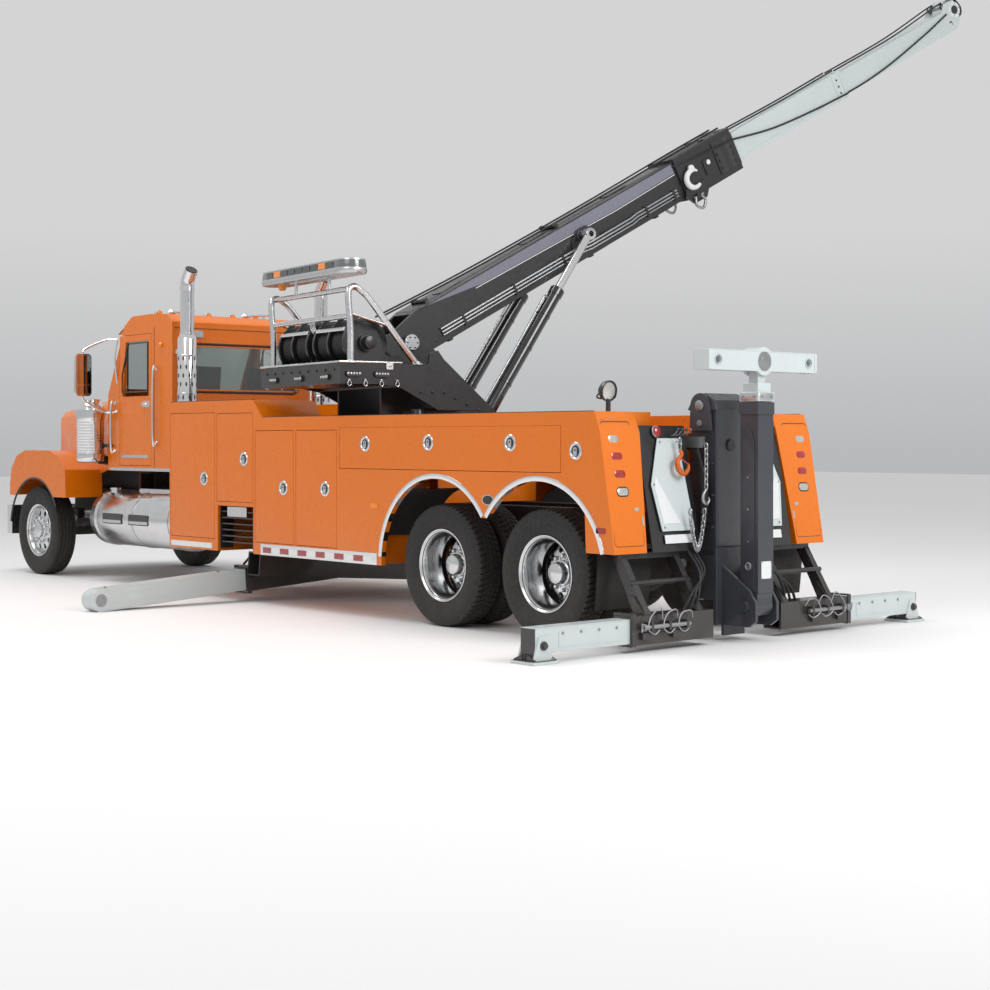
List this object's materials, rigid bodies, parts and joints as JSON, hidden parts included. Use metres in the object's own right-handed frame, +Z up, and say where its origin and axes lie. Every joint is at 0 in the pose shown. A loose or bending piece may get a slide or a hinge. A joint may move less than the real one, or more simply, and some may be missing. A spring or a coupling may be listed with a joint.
{
  "type": "heavy rotator tow truck",
  "caption": "Long-nose heavy recovery truck with a slewing three-stage boom, side outriggers, tool lockers and a folding underlift with a crossbar.",
  "frame": {"origin": "on the ground, under the middle of the outline of the whole truck with its boom and outriggers out", "axes": "+X forwards, +Y to the left side of the truck, +Z up"},
  "size_m": [11.41, 10.6442, 7.1392],
  "materials": {
    "body_orange": "gloss",
    "chassis_black": "satin",
    "pale_grey": "satin",
    "polished_metal": "polished",
    "wheel_metal": "polished",
    "tyre_rubber": "matt",
    "window_glass": "gloss",
    "interior_plastic": "matt",
    "engine_iron": "matt"
  },
  "bodies": {
    "chassis": {"frame_rails": "chassis_black", "front_bumper": "polished_metal", "cab_shell": "body_orange", "cab_glass": "window_glass", "cab_interior": "interior_plastic", "engine_block": "engine_iron", "air_cleaners": "polished_metal", "fuel_tanks": "polished_metal", "exhaust_stacks": "polished_metal", "cab_mirrors": "polished_metal", "axles": "chassis_black", "tool_body": "body_orange", "rotator_base": "chassis_black", "outrigger_boxes": "chassis_black", "underlift_mast": "chassis_black"},
    "hood": {"hood": "body_orange", "grille": "polished_metal"},
    "cab_door_left": {"cab_door_left": "body_orange"},
    "cab_door_right": {"cab_door_right": "body_orange"},
    "knuckle_left": {"knuckle_left": "chassis_black"},
    "knuckle_right": {"knuckle_right": "chassis_black"},
    "front_wheel_left": {"tyre_front_left": "tyre_rubber", "rim_front_left": "wheel_metal"},
    "front_wheel_right": {"tyre_front_right": "tyre_rubber", "rim_front_right": "wheel_metal"},
    "mid_wheels_left": {"tyres_mid_left": "tyre_rubber", "rims_mid_left": "wheel_metal"},
    "mid_wheels_right": {"tyres_mid_right": "tyre_rubber", "rims_mid_right": "wheel_metal"},
    "rear_wheels_left": {"tyres_rear_left": "tyre_rubber", "rims_rear_left": "wheel_metal"},
    "rear_wheels_right": {"tyres_rear_right": "tyre_rubber", "rims_rear_right": "wheel_metal"},
    "turret": {"turret": "chassis_black", "winches": "chassis_black", "light_pylon": "polished_metal"},
    "locker_door_left_1": {"locker_door_left_1": "body_orange"},
    "locker_door_left_2": {"locker_door_left_2": "body_orange"},
    "locker_door_left_3": {"locker_door_left_3": "body_orange"},
    "locker_door_left_4": {"locker_door_left_4": "body_orange"},
    "upper_door_left": {"upper_door_left": "body_orange"},
    "locker_door_right_1": {"locker_door_right_1": "body_orange"},
    "locker_door_right_2": {"locker_door_right_2": "body_orange"},
    "locker_door_right_3": {"locker_door_right_3": "body_orange"},
    "locker_door_right_4": {"locker_door_right_4": "body_orange"},
    "upper_door_right": {"upper_door_right": "body_orange"},
    "boom_base": {"boom_base": "chassis_black"},
    "boom_mid": {"boom_mid": "pale_grey"},
    "boom_tip": {"boom_tip": "pale_grey"},
    "lift_barrels": {"lift_barrels": "chassis_black"},
    "lift_rods": {"lift_rods": "polished_metal"},
    "front_leg_left": {"front_leg_left": "pale_grey"},
    "front_leg_right": {"front_leg_right": "pale_grey"},
    "rear_leg_left": {"rear_leg_left": "pale_grey"},
    "rear_leg_right": {"rear_leg_right": "pale_grey"},
    "underlift_carriage": {"underlift_carriage": "chassis_black"},
    "stinger": {"stinger": "chassis_black"},
    "stinger_slide": {"stinger_slide": "pale_grey"},
    "crossbar": {"crossbar": "pale_grey"}
  },
  "joints": [
    {"name": "hood_tilt", "type": "hinge", "parent": "chassis", "child": "hood", "pos_m": [5.505, 2.36206, 0.92], "axis": [0, 1, 0], "range_deg": [0, 60]},
    {"name": "cab_door_left_swing", "type": "hinge", "parent": "chassis", "child": "cab_door_left", "pos_m": [3.2657, 3.28306, 2.1], "axis": [0, 0, -1], "range_deg": [0, 70]},
    {"name": "cab_door_right_swing", "type": "hinge", "parent": "chassis", "child": "cab_door_right", "pos_m": [3.2657, 1.44106, 2.1], "axis": [0, 0, 1], "range_deg": [0, 70]},
    {"name": "steer_left", "type": "hinge", "parent": "chassis", "child": "knuckle_left", "pos_m": [4.855, 3.16206, 0.54], "axis": [0, 0, 1], "range_deg": [-32, 32]},
    {"name": "steer_right", "type": "hinge", "parent": "chassis", "child": "knuckle_right", "pos_m": [4.855, 1.56206, 0.54], "axis": [0, 0, 1], "range_deg": [-32, 32]},
    {"name": "front_wheel_left_spin", "type": "hinge", "parent": "knuckle_left", "child": "front_wheel_left", "pos_m": [4.855, 3.42206, 0.54], "axis": [0, 1, 0], "continuous": true},
    {"name": "front_wheel_right_spin", "type": "hinge", "parent": "knuckle_right", "child": "front_wheel_right", "pos_m": [4.855, 1.30206, 0.54], "axis": [0, 1, 0], "continuous": true},
    {"name": "mid_wheels_left_spin", "type": "hinge", "parent": "chassis", "child": "mid_wheels_left", "pos_m": [-3.028, 3.28706, 0.54], "axis": [0, 1, 0], "continuous": true},
    {"name": "mid_wheels_right_spin", "type": "hinge", "parent": "chassis", "child": "mid_wheels_right", "pos_m": [-3.028, 1.43706, 0.54], "axis": [0, 1, 0], "continuous": true},
    {"name": "rear_wheels_left_spin", "type": "hinge", "parent": "chassis", "child": "rear_wheels_left", "pos_m": [-4.362, 3.28706, 0.54], "axis": [0, 1, 0], "continuous": true},
    {"name": "rear_wheels_right_spin", "type": "hinge", "parent": "chassis", "child": "rear_wheels_right", "pos_m": [-4.362, 1.43706, 0.54], "axis": [0, 1, 0], "continuous": true},
    {"name": "locker_door_left_1_swing", "type": "hinge", "parent": "chassis", "child": "locker_door_left_1", "pos_m": [1.4777, 3.65006, 1.275], "axis": [0, 0, -1], "range_deg": [0, 95]},
    {"name": "locker_door_left_2_swing", "type": "hinge", "parent": "chassis", "child": "locker_door_left_2", "pos_m": [0.5477, 3.65006, 1.465], "axis": [0, 0, -1], "range_deg": [0, 95]},
    {"name": "locker_door_left_3_swing", "type": "hinge", "parent": "chassis", "child": "locker_door_left_3", "pos_m": [-0.1723, 3.65006, 1.18], "axis": [0, 0, -1], "range_deg": [0, 95]},
    {"name": "locker_door_left_4_swing", "type": "hinge", "parent": "chassis", "child": "locker_door_left_4", "pos_m": [-0.8923, 3.65006, 1.18], "axis": [0, 0, -1], "range_deg": [0, 95]},
    {"name": "upper_door_left_lift", "type": "hinge", "parent": "chassis", "child": "upper_door_left", "pos_m": [-3.125, 3.65006, 1.7527], "axis": [1, 0, 0], "range_deg": [0, 90]},
    {"name": "locker_door_right_1_swing", "type": "hinge", "parent": "chassis", "child": "locker_door_right_1", "pos_m": [1.4777, 1.07406, 1.275], "axis": [0, 0, 1], "range_deg": [0, 95]},
    {"name": "locker_door_right_2_swing", "type": "hinge", "parent": "chassis", "child": "locker_door_right_2", "pos_m": [0.5477, 1.07406, 1.465], "axis": [0, 0, 1], "range_deg": [0, 95]},
    {"name": "locker_door_right_3_swing", "type": "hinge", "parent": "chassis", "child": "locker_door_right_3", "pos_m": [-0.1723, 1.07406, 1.18], "axis": [0, 0, 1], "range_deg": [0, 95]},
    {"name": "locker_door_right_4_swing", "type": "hinge", "parent": "chassis", "child": "locker_door_right_4", "pos_m": [-0.8923, 1.07406, 1.18], "axis": [0, 0, 1], "range_deg": [0, 95]},
    {"name": "upper_door_right_lift", "type": "hinge", "parent": "chassis", "child": "upper_door_right", "pos_m": [-3.125, 1.07406, 1.7527], "axis": [-1, 0, 0], "range_deg": [0, 90]},
    {"name": "turret_slew", "type": "hinge", "parent": "chassis", "child": "turret", "pos_m": [-1.195, 2.36206, 1.64], "axis": [0, 0, -1], "continuous": true},
    {"name": "boom_lift", "type": "hinge", "parent": "turret", "child": "boom_base", "pos_m": [-1.14072, 2.74827, 2.59], "axis": [-0.9903, 0.1392, 0], "range_deg": [-28.4, 31.6]},
    {"name": "boom_mid_slide", "type": "slide", "parent": "boom_base", "child": "boom_mid", "axis": [-0.1224, -0.8711, 0.4756], "range_m": [-1.8, 0.3]},
    {"name": "boom_tip_slide", "type": "slide", "parent": "boom_mid", "child": "boom_tip", "axis": [-0.1224, -0.8711, 0.4756], "range_m": [-1.9, 0]},
    {"name": "lift_barrels_tilt", "type": "hinge", "parent": "turret", "child": "lift_barrels", "pos_m": [-1.26737, 1.84712, 1.8], "axis": [-0.9903, 0.1392, 0], "range_deg": [-28, 31]},
    {"name": "lift_rods_slide", "type": "slide", "parent": "lift_barrels", "child": "lift_rods", "axis": [-0.0774, -0.5508, 0.8311], "range_m": [-0.58, 0.65]},
    {"name": "front_leg_left_slide", "type": "slide", "parent": "chassis", "child": "front_leg_left", "axis": [0, 0.9976, -0.0698], "range_m": [-1.5, 0]},
    {"name": "front_leg_right_slide", "type": "slide", "parent": "chassis", "child": "front_leg_right", "axis": [0, -0.9976, -0.0698], "range_m": [-1.5, 0]},
    {"name": "rear_leg_left_slide", "type": "slide", "parent": "chassis", "child": "rear_leg_left", "axis": [0, 1, 0], "range_m": [-0.56, 0]},
    {"name": "rear_leg_right_slide", "type": "slide", "parent": "chassis", "child": "rear_leg_right", "axis": [0, -1, 0], "range_m": [-0.56, 0]},
    {"name": "underlift_lift", "type": "slide", "parent": "chassis", "child": "underlift_carriage", "axis": [0, 0, 1], "range_m": [0, 0.6]},
    {"name": "stinger_fold", "type": "hinge", "parent": "underlift_carriage", "child": "stinger", "pos_m": [-5.595, 2.36206, 0.3], "axis": [0, -1, 0], "range_deg": [0, 90]},
    {"name": "stinger_extend", "type": "slide", "parent": "stinger", "child": "stinger_slide", "axis": [0, 0, 1], "range_m": [0, 0.9]},
    {"name": "crossbar_swing", "type": "hinge", "parent": "stinger_slide", "child": "crossbar", "pos_m": [-5.595, 2.36206, 2.28], "axis": [1, 0, 0], "range_deg": [-30, 30]}
  ],
  "couplings": [
    {"joint": "steer_right", "follows": "steer_left", "ratio": 1},
    {"joint": "lift_barrels_tilt", "follows": "boom_lift", "ratio": 0.957},
    {"joint": "lift_rods_slide", "follows": "boom_lift", "m_per_rad": 1.146}
  ]
}
